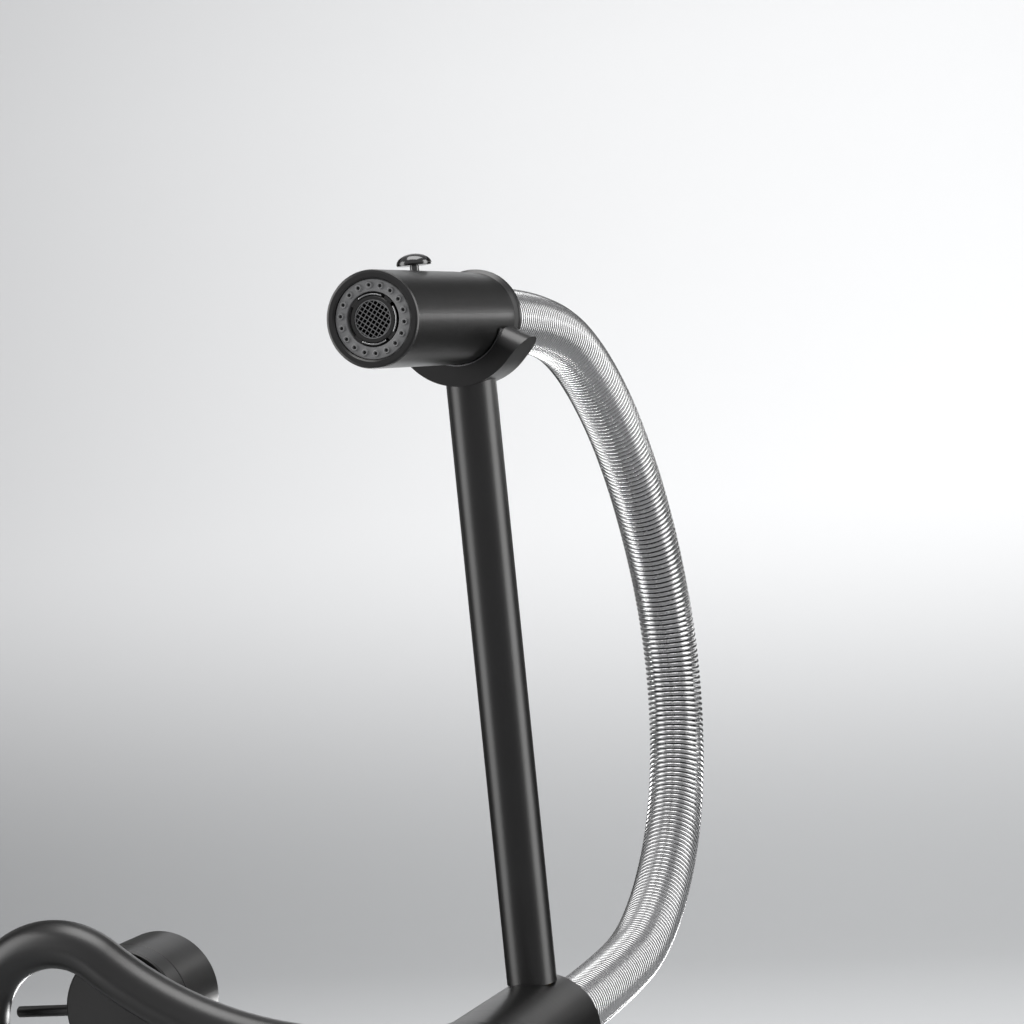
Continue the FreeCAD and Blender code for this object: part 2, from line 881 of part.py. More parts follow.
# ---------------------------------------------------------------- side spout
def spout_route():
    """Straight out of the body, a long upward sweep, a tight crown and a short drop."""
    sweep = sheet_value("spout_sweep_radius")
    crown = sheet_value("spout_crown_radius")
    angle = math.radians(sheet_value("spout_sweep_angle"))
    start = Vector(-sheet_value("body_radius") + 3.4, 0, sheet_value("body_axis_height"))
    bend_start = Vector(-sheet_value("spout_sweep_start"), 0, start.z)

    def on_sweep(turn):
        return bend_start + Vector(-math.sin(turn), 0, 1 - math.cos(turn)) * sweep

    bend_end = on_sweep(angle)
    centre = bend_end - Vector(math.sin(angle), 0, math.cos(angle)) * crown

    def on_crown(turn):
        return centre + Vector(math.sin(turn), 0, math.cos(turn)) * crown

    crown_end = on_crown(-math.pi / 2)
    outlet = crown_end - Vector(0, 0, sheet_value("spout_drop"))
    edges = [
        Part.LineSegment(start, bend_start).toShape(),
        Part.Arc(bend_start, on_sweep(angle / 2), bend_end).toShape(),
        Part.Arc(bend_end, on_crown((angle - math.pi / 2) / 2), crown_end).toShape(),
        Part.LineSegment(crown_end, outlet).toShape(),
    ]
    return Part.Wire(edges), outlet


def spout():
    wire, outlet = spout_route()
    bore = dim.spout_radius - dim.spout_wall
    keep("spout", swept_tube("spout", wire, dim.spout_radius, bore))
    length = dim.spout_outlet_length
    base_z = outlet.z - sheet_value("spout_outlet_length")
    keep_turned(
        "spout_outlet_sleeve",
        tube_outline(dim.spout_outlet_radius, bore, length, 0.6),
        (outlet.x, 0, base_z),
    )
    aerator_bore = bore - 2.5
    keep_turned(
        "spout_aerator",
        tube_outline(bore - dim.clearance, aerator_bore, 8, 0.3),
        (outlet.x, 0, base_z + 0.6),
    )
    half = value_of(aerator_bore) - 0.1
    rim = turned(
        "outlet_mesh_rim",
        tube_outline(half, half - 0.8, 1.2),
        (outlet.x, 0, base_z + 1.2),
    )
    centre = (outlet.x, 0, base_z + 1.2)
    bars = grille_bars("outlet", half - 0.3, 0, centre, Rotation(Vector(1, 0, 0), 90))
    keep("spout_aerator_mesh", fuse("spout_aerator_mesh", [rim, *bars]))


# ---------------------------------------------------------------- spring hose
def rounded_route(points):
    """Straight runs joined by tangent arcs as large as the two runs of each corner allow."""
    corners = [Vector(0, y, z) for y, z in points]
    edges = []
    last = corners[0]
    for before, corner, after in zip(corners, corners[1:], corners[2:]):
        incoming = corner - before
        outgoing = after - corner
        turn = incoming.getAngle(outgoing)
        trim = 0.45 * min(incoming.Length, outgoing.Length)
        radius = trim / math.tan(turn / 2)
        into = Vector(incoming).normalize()
        out = Vector(outgoing).normalize()
        inward = (out - into).normalize()
        first = corner - into * trim
        middle = corner + inward * (radius / math.cos(turn / 2) - radius)
        final = corner + out * trim
        edges.append(Part.LineSegment(last, first).toShape())
        edges.append(Part.Arc(first, middle, final).toShape())
        last = final
        print(f"hose corner radius {radius:.0f} mm")
    edges.append(Part.LineSegment(last, corners[-1]).toShape())
    return Part.Wire(edges)


def hose():
    """The coiled guard as one plain tube, and the rubber hose that runs inside it."""
    wire = rounded_route(HOSE_ROUTE)
    print(f"hose length {wire.Length:.0f} mm")
    guard = swept_tube("spring_guard", wire, dim.spring_radius, dim.spring_inner_radius)
    keep("spring_guard", guard)
    keep("inner_hose", swept_tube("inner_hose", wire, dim.inner_hose_radius, dim.inner_hose_bore))


# ---------------------------------------------------------------- fixed column and deck fixing
def column():
    """The flange on the deck, the fixed column and the spigot that the body turns on."""
    tube_bore = dim.column_radius - dim.column_wall
    keep_turned(
        "deck_gasket",
        tube_outline(dim.flange_radius - 2, dim.shank_radius + dim.clearance, dim.gasket_thickness),
    )
    keep_turned(
        "deck_flange",
        [
            (dim.shank_bore, 0),
            (dim.flange_radius, 0),
            (dim.flange_radius, dim.flange_thickness - 1.2),
            (dim.flange_radius - 1.2, dim.flange_thickness),
            (dim.shank_bore, dim.flange_thickness),
        ],
        (0, 0, dim.gasket_thickness),
    )
    tube = turned(
        "column_tube",
        tube_outline(dim.column_radius, tube_bore, column_top - column_foot),
        (0, 0, column_foot),
    )
    direction = control_direction()
    pipe_hole = cylinder(
        "column_pipe_hole",
        dim.control_pipe_radius + 0.05,
        dim.column_radius * 1.5,
        (0, 0, dim.control_pipe_height),
        Rotation(Vector(0, 0, 1), direction),
    )
    keep("base_column", cut("base_column", tube, pipe_hole))
    root = tube_bore - dim.clearance
    collar = dim.spigot_root - 0.5
    total = dim.spigot_root + dim.spigot_rise
    keep_turned(
        "swivel_spigot",
        [
            (dim.spigot_bore, 0),
            (root, 0),
            (root, collar),
            (dim.spigot_radius, collar),
            (dim.spigot_radius, total - 1),
            (dim.spigot_radius - 1, total),
            (dim.spigot_bore, total),
        ],
        (0, 0, column_top - dim.spigot_root),
    )
    keep_turned(
        "swivel_bearing",
        tube_outline(
            dim.column_radius - 1.5,
            dim.spigot_radius + dim.running_gap,
            dim.bearing_thickness - 0.4,
        ),
        (0, 0, column_top),
    )
    riser_foot = column_foot + 4
    riser_top = column_top - dim.spigot_root
    keep_turned(
        "water_riser",
        tube_outline(dim.spigot_bore - 2, dim.spigot_bore - 3.5, riser_top - riser_foot),
        (0, 0, riser_foot),
    )


def deck_fixing():
    """The threaded shank under the deck and the two inlet tails."""
    plain = dim.deck_room
    total = plain + dim.thread_length
    thread_radius = dim.shank_radius - 0.5
    relief = 0.4
    keep_turned(
        "mounting_shank",
        [
            (dim.shank_bore, 0),
            (thread_radius - 1, 0),
            (thread_radius, 1),
            (thread_radius, dim.thread_length),
            (dim.shank_radius, dim.thread_length),
            (dim.shank_radius, total - relief),
            (dim.shank_radius - 1.5, total - relief),
            (dim.shank_radius - 1.5, total + dim.gasket_thickness),
            (dim.shank_bore, total + dim.gasket_thickness),
        ],
        (0, 0, -total),
    )
    for name, side, reach in (
        ("hot_inlet_tail", -1, dim.hot_inlet_reach),
        ("cold_inlet_tail", 1, dim.cold_inlet_reach),
    ):
        length = reach + dim.thread_length / 2
        keep_turned(
            name,
            [
                (dim.inlet_bore, 0),
                (dim.inlet_end_radius, 0),
                (dim.inlet_end_radius, dim.inlet_end_length),
                (dim.inlet_radius, dim.inlet_end_length + 1),
                (dim.inlet_radius, length),
                (dim.inlet_bore, length),
            ],
            (dim.inlet_half_spacing * side, 0, -total - reach),
        )


# ---------------------------------------------------------------- side control
def control_direction():
    """The level direction from the column to the side control."""
    direction = Vector(-sheet_value("control_reach"), sheet_value("control_back"), 0)
    return direction.normalize()


def control_pipe():
    """Level out of the column, then one bend up to the underside of the valve housing."""
    direction = control_direction()
    bend = sheet_value("control_bend_radius")
    level = Vector(0, 0, sheet_value("control_pipe_height"))
    corner = Vector(-sheet_value("control_reach"), sheet_value("control_back"), level.z)
    start = level + direction * (sheet_value("column_radius") - 1.5)
    bend_start = corner - direction * bend
    bend_end = corner + Vector(0, 0, bend)
    centre = bend_start + Vector(0, 0, bend)
    middle = centre + (direction - Vector(0, 0, 1)).normalize() * bend
    valve_foot = sheet_value("control_axis_height") - sheet_value("valve_radius")
    top = Vector(corner.x, corner.y, valve_foot + 1.0)
    wire = Part.Wire(
        [
            Part.LineSegment(start, bend_start).toShape(),
            Part.Arc(bend_start, middle, bend_end).toShape(),
            Part.LineSegment(bend_end, top).toShape(),
        ]
    )
    inner = dim.control_pipe_radius - dim.control_pipe_wall
    keep("control_pipe", swept_tube("control_pipe", wire, dim.control_pipe_radius, inner))


def control_valve():
    """A round drum, closed behind, that holds the mixing cartridge and its nut."""
    radius = dim.valve_radius
    bore = radius - dim.valve_wall
    length = dim.valve_length
    shell = turned(
        "valve_shell",
        [
            (bore, 0),
            (radius - 0.4, 0),
            (radius, 0.4),
            (radius, length - 0.8),
            (radius - 0.8, length),
            (0, length),
            (0, length - dim.valve_wall),
            (bore, length - dim.valve_wall),
        ],
        (control_x, valve_face, control_z),
        ALONG_Y,
    )
    hole = cylinder(
        "valve_pipe_hole",
        dim.control_pipe_radius + 0.05,
        radius,
        (control_x, dim.control_back, control_z - radius * 1.3),
    )
    keep("valve_housing", cut("valve_housing", shell, hole))
    stalk = 7.5
    cartridge = dim.cartridge_radius
    cartridge_end = length + stalk - dim.valve_wall - 0.1
    keep_turned(
        "mixing_cartridge",
        [
            (0, 0),
            (dim.spindle_radius, 0),
            (dim.spindle_radius, stalk + 0.5),
            (cartridge - 3, stalk + 1),
            (cartridge, stalk + 4.5),
            (cartridge, cartridge_end),
            (0, cartridge_end),
        ],
        (control_x, valve_face - stalk, control_z),
        ALONG_Y,
    )
    keep_turned(
        "cartridge_nut",
        tube_outline(bore - dim.clearance, cartridge + dim.clearance, 6, 0.3),
        (control_x, valve_face + 5, control_z),
        ALONG_Y,
    )


def control_knob():
    """The round knob over the valve's face, its lever pin and the screw that holds it."""
    length = dim.control_knob_length
    radius = dim.valve_radius
    socket = 7.8
    start = valve_face - dim.knob_gap - length
    blank = turned(
        "control_knob_blank",
        [
            (0, 0),
            (radius - 0.8, 0),
            (radius, 0.8),
            (radius, length - 0.4),
            (radius - 0.4, length),
            (dim.spindle_radius + dim.running_gap, length),
            (dim.spindle_radius + dim.running_gap, length - socket),
            (0, length - socket),
        ],
        (control_x, start, control_z),
        ALONG_Y,
    )
    middle = start + length / 2
    pin_start = control_x - radius + 6
    pin_hole = cylinder(
        "lever_hole",
        dim.pin_radius,
        radius,
        (pin_start, middle, control_z),
        ALONG_MINUS_X,
    )
    screw_start = control_z - radius + 2
    screw_hole = cylinder(
        "knob_screw_hole",
        dim.screw_radius,
        radius,
        (control_x, middle, screw_start - radius + 12),
    )
    holes = fuse("control_knob_holes", [pin_hole, screw_hole])
    keep("control_knob", cut("control_knob", blank, holes))
    keep_turned(
        "control_lever_pin",
        pin_outline(dim.lever_pin_length),
        (pin_start, middle, control_z),
        ALONG_MINUS_X,
    )
    keep_turned(
        "knob_set_screw",
        [(0, 0), (dim.screw_radius, 0), (dim.screw_radius, 8), (0, 8)],
        (control_x, middle, screw_start + 2),
    )


def build():
    head_shells()
    nozzle_plate()
    aerator()
    head_inside()
    mode_button()
    cradle()
    stem()
    mixer_body()
    diverter()
    spout()
    hose()
    column()
    deck_fixing()
    control_pipe()
    control_valve()
    control_knob()


def check():
    """Stops before anything is written if an object failed or a sub-part has a bad shape."""
    document.recompute()
    faults = [
        f"{item.Name}: {item.State}"
        for item in document.Objects
        if "Invalid" in item.State or "Error" in item.State
    ]
    for name, item in nodes.items():
        if item.Shape.isNull() or not item.Shape.isValid() or not item.Shape.Solids:
            faults.append(f"{name}: bad shape")
    if faults:
        raise RuntimeError("; ".join(faults))


def write():
    """Writes each sub-part as a STEP file named after its node."""
    os.makedirs("parts", exist_ok=True)
    for name, item in nodes.items():
        item.Shape.exportStep(f"parts/{name}.step")
        print(f"{name}: {len(item.Shape.Solids)} solids, {item.Shape.Volume:.0f} mm3")


build()
check()
write()
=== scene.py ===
"""The looks of a kitchen faucet with a pull-down spray head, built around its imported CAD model."""

import json
import math

import bmesh
import bpy
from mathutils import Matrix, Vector


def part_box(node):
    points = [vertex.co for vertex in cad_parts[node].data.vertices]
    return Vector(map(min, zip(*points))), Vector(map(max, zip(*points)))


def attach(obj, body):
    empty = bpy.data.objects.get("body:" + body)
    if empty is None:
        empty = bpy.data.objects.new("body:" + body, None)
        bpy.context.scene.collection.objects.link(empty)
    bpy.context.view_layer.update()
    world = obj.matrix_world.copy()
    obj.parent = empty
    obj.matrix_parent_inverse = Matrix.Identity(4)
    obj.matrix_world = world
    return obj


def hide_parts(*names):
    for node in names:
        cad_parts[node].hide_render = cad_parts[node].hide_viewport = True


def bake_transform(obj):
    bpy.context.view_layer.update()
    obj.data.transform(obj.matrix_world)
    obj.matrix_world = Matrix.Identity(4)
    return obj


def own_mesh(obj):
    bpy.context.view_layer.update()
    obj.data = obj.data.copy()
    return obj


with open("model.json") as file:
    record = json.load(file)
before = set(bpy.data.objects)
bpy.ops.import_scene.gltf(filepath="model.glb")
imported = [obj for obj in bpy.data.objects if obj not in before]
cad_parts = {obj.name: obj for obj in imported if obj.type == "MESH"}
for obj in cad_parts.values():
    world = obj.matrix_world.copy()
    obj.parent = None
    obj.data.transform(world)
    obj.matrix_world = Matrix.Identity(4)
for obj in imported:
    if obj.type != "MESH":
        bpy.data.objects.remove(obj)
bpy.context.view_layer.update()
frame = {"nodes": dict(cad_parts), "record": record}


def middle_of(node):
    """The middle of a CAD node's box."""
    low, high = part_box(node)
    return (low + high) / 2


# ---------------------------------------------------------------- camera
CAMERA_PLACE = (0.4503, -1.2179, 0.3940)
CAMERA_TURN = (88.075, 5.78, 19.23)
CAMERA_LENS = 106.45
CAMERA_SENSOR = 36


def add_camera():
    """A long lens near the head's own height, a little to its right, rolled so that the stem leans."""
    camera = bpy.data.objects.new("camera", bpy.data.cameras.new("camera"))
    camera.data.sensor_width = CAMERA_SENSOR
    camera.data.lens = CAMERA_LENS
    camera.data.clip_start = 0.05
    camera.location = CAMERA_PLACE
    camera.rotation_euler = [math.radians(turn) for turn in CAMERA_TURN]
    bpy.context.collection.objects.link(camera)
    bpy.context.scene.camera = camera


# ---------------------------------------------------------------- meshes
def mesh_object(name, vertices, faces):
    """A smooth-shaded object made of those vertices and faces."""
    mesh = bpy.data.meshes.new(name)
    mesh.from_pydata(vertices, [], faces)
    mesh.validate()
    mesh.polygons.foreach_set("use_smooth", [True] * len(mesh.polygons))
    piece = bpy.data.objects.new(name, mesh)
    bpy.context.collection.objects.link(piece)
    return piece


def tube_along(name, centres, sides, radius, across):
    """A closed tube round a line; across gives two unit directions for each of its points."""
    vertices = []
    for centre, (first, second) in zip(centres, across):
        for side in range(sides):
            angle = 2 * math.pi * side / sides
            vertices.append(centre + (first * math.cos(angle) + second * math.sin(angle)) * radius)
    faces = []
    for ring in range(len(centres) - 1):
        low = ring * sides
        high = low + sides
        for side in range(sides):
            following = (side + 1) % sides
            faces.append((low + side, low + following, high + following, high + side))
    faces.append(tuple(reversed(range(sides))))
    last = (len(centres) - 1) * sides
    faces.append(tuple(range(last, last + sides)))
    return mesh_object(name, vertices, faces)


def lathe(name, outline, at, axis, material, steps=96):
    """A closed outline of (radius, height) points turned about an axis through a point."""
    turn = Vector((0, 0, 1)).rotation_difference(Vector(axis))
    centre = Vector(at)
    vertices = []
    for step in range(steps):
        angle = 2 * math.pi * step / steps
        for radius, height in outline:
            spot = Vector((radius * math.cos(angle), radius * math.sin(angle), height))
            vertices.append(centre + turn @ spot)
    count = len(outline)
    faces = []
    for step in range(steps):
        near = step * count
        far = (step + 1) % steps * count
        for index in range(count):
            following = (index + 1) % count
            faces.append((near + index, far + index, far + following, near + following))
    piece = mesh_object(name, vertices, faces)
    weld(piece.data)
    piece.data.set_sharp_from_angle(angle=math.radians(40))
    piece.data.materials.append(material)
    return piece


def weld(mesh):
    """Joins the vertices that fall together on a turned piece's axis, and turns its faces outwards."""
    welded = bmesh.new()
    welded.from_mesh(mesh)
    bmesh.ops.remove_doubles(welded, verts=welded.verts, dist=1e-7)
    bmesh.ops.recalc_face_normals(welded, faces=welded.faces)
    welded.to_mesh(mesh)
    welded.free()


def arc(centre, radius, start, end, steps):
    """Points of an arc in an outline; angles in degrees, anticlockwise from the radius direction."""
    angles = [math.radians(start + (end - start) * step / steps) for step in range(steps + 1)]
    return [(centre[0] + radius * math.cos(a), centre[1] + radius * math.sin(a)) for a in angles]


def join(pieces):
    """Makes several pieces into the first of them."""
    with bpy.context.temp_override(active_object=pieces[0], selected_editable_objects=pieces):
        bpy.ops.object.join()
    return pieces[0]


# ---------------------------------------------------------------- spring hose
# The hose's route in the plane x = 0, as (y, z), from the head's ferrule to the body.
HOSE_ROUTE = [
    (0.0384, 0.436),
    (0.109, 0.436),
    (0.180, 0.419),
    (0.249, 0.360),
    (0.289, 0.270),
    (0.272, 0.183),
    (0.202, 0.129),
    (0.118, 0.120),
    (0.0412, 0.120),
]
ACROSS_ROUTE = Vector((1, 0, 0))
LINE_STEP = 0.001
HOSE_RADIUS = 0.0102
HOSE_SIDES = 24
GUARD_RADIUS = 0.014
WIRE_RADIUS = 0.00108
WIRE_SIDES = 8
COIL_PITCH = 0.00272
COIL_STEPS = 26


def hose_line():
    """Evenly spaced points along the smooth line that the hose's route controls."""
    curve = bpy.data.curves.new("hose_line", "CURVE")
    curve.dimensions = "3D"
    curve.resolution_u = 64
    spline = curve.splines.new("NURBS")
    spline.points.add(len(HOSE_ROUTE) - 1)
    for point, (y, z) in zip(spline.points, HOSE_ROUTE):
        point.co = (0, y, z, 1)
    spline.order_u = 3
    spline.use_endpoint_u = True
    holder = bpy.data.objects.new("hose_line", curve)
    mesh = bpy.data.meshes.new_from_object(holder)
    points = [vertex.co.copy() for vertex in mesh.vertices]
    bpy.data.meshes.remove(mesh)
    bpy.data.objects.remove(holder)
    bpy.data.curves.remove(curve)
    return evenly(points, LINE_STEP)


def evenly(points, step):
    """The line through points again, with points about step apart."""
    lengths = [0.0]
    for first, second in zip(points, points[1:]):
        lengths.append(lengths[-1] + (second - first).length)
    count = round(lengths[-1] / step)
    result = []
    index = 0
    for number in range(count + 1):
        target = lengths[-1] * number / count
        while index < len(points) - 2 and lengths[index + 1] < target:
            index += 1
        span = lengths[index + 1] - lengths[index]
        result.append(points[index].lerp(points[index + 1], (target - lengths[index]) / span))
    return result


def tangents_of(line):
    """The line's direction at each of its points."""
    last = len(line) - 1
    return [(line[min(i + 1, last)] - line[max(i - 1, 0)]).normalized() for i in range(last + 1)]


def add_spring_coil(line, tangents, normals):
    """The spring guard as a real coil wound along the line."""
    length = sum((second - first).length for first, second in zip(line, line[1:]))
    wound = length - 2 * WIRE_RADIUS
    turns = round(wound / COIL_PITCH)
    coil_radius = GUARD_RADIUS - WIRE_RADIUS
    centres = []
    across = []
    for step in range(turns * COIL_STEPS + 1):
        along = WIRE_RADIUS + wound * step / (turns * COIL_STEPS)
        place = along / length * (len(line) - 1)
        index = min(int(place), len(line) - 2)
        share = place - index
        centre = line[index].lerp(line[index + 1], share)
        tangent = tangents[index].lerp(tangents[index + 1], share).normalized()
        normal = normals[index].lerp(normals[index + 1], share).normalized()
        angle = 2 * math.pi * step / COIL_STEPS
        outward = ACROSS_ROUTE * math.cos(angle) + normal * math.sin(angle)
        centres.append(centre + outward * coil_radius)
        across.append((outward, tangent))
    coil = tube_along("spring_coil", centres, WIRE_SIDES, WIRE_RADIUS, across)
    coil.data.materials.append(spring_steel())
    return coil


def add_rubber_hose(line, normals):
    """The dark hose that shows between the coils."""
    across = [(ACROSS_ROUTE, normal) for normal in normals]
    rubber = tube_along("rubber_hose", line, HOSE_SIDES, HOSE_RADIUS, across)
    rubber.data.materials.append(black_rubber())
    return rubber


def add_hose():
    """The spring guard with the hose inside it, in place of the plain CAD ones."""
    line = hose_line()
    tangents = tangents_of(line)
    normals = [ACROSS_ROUTE.cross(tangent) for tangent in tangents]
    coil = add_spring_coil(line, tangents, normals)
    rubber = add_rubber_hose(line, normals)
    for piece, slot, node in ((coil, "spring_steel", "spring_guard"), (rubber, "rubber", "inner_hose")):
        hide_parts(node)
        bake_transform(piece)


# ---------------------------------------------------------------- materials
class Material:
    """A node material under construction, with short calls for the nodes used here."""

    def __init__(self, name):
        self.material = bpy.data.materials.new(name)
        self.material.use_nodes = True
        self.tree = self.material.node_tree
        self.shader = self.tree.nodes["Principled BSDF"]
        self.shader.inputs["IOR"].default_value = 1.5

    def node(self, kind, **inputs):
        """A new node with its inputs set, their spaces written as underscores."""
        node = self.tree.nodes.new(kind)
        for name, value in inputs.items():
            self.give(node.inputs[name.replace("_", " ")], value)
        return node

    def give(self, socket, value):
        """Links a value that is another node's output, and sets any other on the socket."""
        if isinstance(value, bpy.types.NodeSocket):
            self.tree.links.new(value, socket)
        else:
            socket.default_value = value

    def set(self, **inputs):
        """Sets or links the shader's inputs."""
        for name, value in inputs.items():
            self.give(self.shader.inputs[name.replace("_", " ")], value)

    def place(self, scale=(1, 1, 1)):
        """Object coordinates, stretched."""
        coordinates = self.node("ShaderNodeTexCoord").outputs["Object"]
        mapping = self.node("ShaderNodeMapping", Vector=coordinates, Scale=scale)
        return mapping.outputs["Vector"]

    def noise(self, vector, scale=1.0, detail=2.0):
        """Soft noise from 0 to 1, mostly between 0.3 and 0.7."""
        node = self.node("ShaderNodeTexNoise", Vector=vector, Scale=scale, Detail=detail, Roughness=0.5)
        return node.outputs["Fac"]

    def grain(self, size, detail=2.0):
        """Noise of the same fineness every way, with about size grains in a metre."""
        return self.noise(self.place((size, size, size)), detail=detail)

    def ramp(self, factor, low, high, start=0.3, end=0.7):
        """A number that goes from low to high as factor goes from start to end."""
        node = self.node("ShaderNodeMapRange", Value=factor)
        node.inputs["From Min"].default_value = start
        node.inputs["From Max"].default_value = end
        node.inputs["To Min"].default_value = low
        node.inputs["To Max"].default_value = high
        return node.outputs["Result"]

    def mix(self, factor, first, second):
        """A colour between two others."""
        node = self.tree.nodes.new("ShaderNodeMix")
        node.data_type = "RGBA"
        self.give(node.inputs["Factor"], factor)
        self.give(node.inputs["A"], first)
        self.give(node.inputs["B"], second)
        return node.outputs["Result"]

    def bump(self, height, strength, distance):
        """Relief from a height."""
        node = self.node("ShaderNodeBump", Height=height, Strength=strength, Distance=distance)
        self.set(Normal=node.outputs["Normal"])


def grey(value, tint=0.0):
    """A grey; a tint above 0 makes it a little cooler, and one below 0 a little warmer."""
    return (value, value * (1 + tint / 2), value * (1 + tint), 1)


def brushed_steel(name, stretch, shade, roughness=0.34):
    """Dark steel with fine brushing; stretch is the texture's scale along each axis."""
    made = Material(name)
    brushing = made.noise(made.place(stretch), detail=3)
    cloud = made.grain(30)
    made.set(
        Metallic=1.0,
        Base_Color=made.mix(cloud, grey(shade * 0.92, -0.04), grey(shade * 1.08, 0.0)),
        Roughness=made.ramp(brushing, roughness - 0.015, roughness + 0.015),
    )
    made.bump(brushing, 0.03, 0.00001)
    return made.material


def spring_steel():
    """The spring guard's bright drawn wire."""
    made = Material("spring_steel")
    grain = made.grain(400)
    made.set(
        Metallic=1.0,
        Base_Color=made.mix(grain, grey(0.74), grey(0.84)),
        Roughness=made.ramp(grain, 0.2, 0.28),
    )
    return made.material


def black_rubber():
    """The hose's dull black."""
    made = Material("black_rubber")
    grain = made.grain(900)
    made.set(Base_Color=made.mix(grain, grey(0.015), grey(0.03)), Roughness=0.6)
    made.bump(grain, 0.2, 0.0001)
    return made.material


def plain(name, shade, roughness, metallic=0.0, size=500, spread=0.15):
    """A material with fine mottling in its colour, roughness and relief."""
    made = Material(name)
    grain = made.grain(size, detail=3)
    made.set(
        Metallic=metallic,
        Base_Color=made.mix(grain, grey(shade * (1 - spread)), grey(shade * (1 + spread))),
        Roughness=made.ramp(grain, roughness * 0.85, roughness * 1.15),
    )
    made.bump(grain, 0.1, 0.0001)
    return made.material


def tinted(name, colour, roughness, metallic):
    """A coloured material with fine mottling in its colour and roughness."""
    made = Material(name)
    grain = made.grain(300, detail=3)
    darker = tuple(part * 0.93 for part in colour)
    made.set(
        Metallic=metallic,
        Base_Color=made.mix(grain, (*darker, 1), (*colour, 1)),
        Roughness=made.ramp(grain, roughness * 0.8, roughness * 1.2),
    )
    return made.material


# The brushing's lines run along an axis or round one: the texture is fine across them and long with them.
ROUND_Y = (10, 1200, 10)
ALONG_Z = (1200, 1200, 10)
ALONG_X = (10, 1200, 1200)
ROUND_Z = (10, 10, 1200)
GUNMETAL = 0.11
GRAIN_OF_NODES = {
    "head_barrel": ROUND_Y,
    "head_rear_collar": ROUND_Y,
    "collar_bevel_ring": ROUND_Y,
    "hose_ferrule": ROUND_Y,
    "hose_outlet_ferrule": ROUND_Y,
    "mixer_body": ROUND_Y,
    "body_front_cap": ROUND_Y,
    "body_rear_cap": ROUND_Y,
    "diverter_knob": ROUND_Y,
    "valve_housing": ROUND_Y,
    "control_knob": ROUND_Y,
    "spout": ALONG_X,
    "diverter_pin": ALONG_X,
    "control_lever_pin": ALONG_X,
    "deck_flange": ROUND_Z,
    "spout_outlet_sleeve": ROUND_Z,
}


def gunmetal(stretch):
    """The dark steel with its brushing along or round one axis, made once for each."""
    name = "gunmetal_" + "_".join(str(part) for part in stretch)
    return bpy.data.materials.get(name) or brushed_steel(name, stretch, GUNMETAL)


def slot_materials():
    """The button's material, and that of each of the record's slots but the brushed dark steel."""
    return {
        "polished_steel": plain("polished_steel", 0.75, 0.12, 1.0),
        "button_steel": plain("button_steel", 0.16, 0.16, 1.0, spread=0.05),
        "spring_steel": plain("bright_steel", 0.6, 0.2, 1.0),
        "silicone": plain("silicone", 0.45, 0.5),
        "dark_plastic": plain("dark_plastic", 0.02, 0.4),
        "bearing_plastic": plain("bearing_plastic", 0.7, 0.4),
        "brass": tinted("brass", (0.72, 0.53, 0.26), 0.25, 1.0),
        "stainless": plain("stainless", 0.5, 0.28, 1.0),
        "rubber": plain("rubber_seal", 0.025, 0.6),
    }


def dress_cad(materials):
    """Gives each CAD node a material by its slot in the record, and the dark steel by its grain."""
    for part in frame["record"]["subparts"]:
        name = part["node"]
        material = materials.get(part["material_slot"])
        if material is None:
            material = gunmetal(GRAIN_OF_NODES.get(name, ALONG_Z))
        data = frame["nodes"][name].data
        data.materials.clear()
        data.materials.append(material)


# ---------------------------------------------------------------- the head's face
# The head lies along Y. Its soft face is set back a little inside the barrel's rim.
HEAD_AXIS = middle_of("head_rear_collar").z
FACE_SETBACK = 0.0012
FACE_MIDDLE = Vector((0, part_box("head_barrel")[0].y + FACE_SETBACK, HEAD_AXIS))
INTO_HEAD = (0, 1, 0)
NOZZLE_COUNT = 18
NOZZLE_CIRCLE = 0.0138
NOZZLE_BORE = 0.0007


def face_direction(angle):
    """The unit direction at an angle in radians round the head's face."""
    return Vector((math.cos(angle), 0, math.sin(angle)))


def nozzle_places():
    """The middles of the nozzles, evenly round their circle and half a step off its right end."""
    angles = [2 * math.pi * (index + 0.5) / NOZZLE_COUNT for index in range(NOZZLE_COUNT)]
    return [FACE_MIDDLE + face_direction(angle) * NOZZLE_CIRCLE for angle in angles]


def add_nozzles(material):
    """The soft face: a ring with a rolled edge, and tips with a raised lip round each hole."""
    inner = 0.0112
    outer = 0.0163
    depth = 0.004
    roll = 0.0005
    ring = [
        *arc((inner + roll, roll), roll, 180, 270, 5),
        *arc((outer - roll, roll), roll, 270, 360, 5),
        (outer, depth),
        (inner, depth),
    ]
    pieces = [lathe("nozzle_face", ring, FACE_MIDDLE, INTO_HEAD, material, 128)]
    tip_radius = 0.0018
    tip_depth = 0.0014
    tip = [
        (NOZZLE_BORE, tip_depth),
        (NOZZLE_BORE, -0.0004),
        *arc((0.00105, -0.00045), 0.00032, 200, 340, 5),
        (0.0015, -0.0001),
        (tip_radius, 0.0003),
        (tip_radius, tip_depth),
    ]
    for index, place in enumerate(nozzle_places()):
        pieces.append(lathe(f"nozzle_{index}", tip, place, INTO_HEAD, material, 24))
    return join(pieces)


def add_nozzle_pits(material):
    """Dark plugs just inside the tips: painted shade in the nozzle holes."""
    radius = NOZZLE_BORE + 0.00002
    front = -0.0001
    back = 0.0012
    plug_outline = [(0, front), (radius, front), (radius, back), (0, back)]
    pieces = [
        lathe(f"nozzle_shade_plug_{index}", plug_outline, place, INTO_HEAD, material, 16)
        for index, place in enumerate(nozzle_places())
    ]
    return join(pieces)


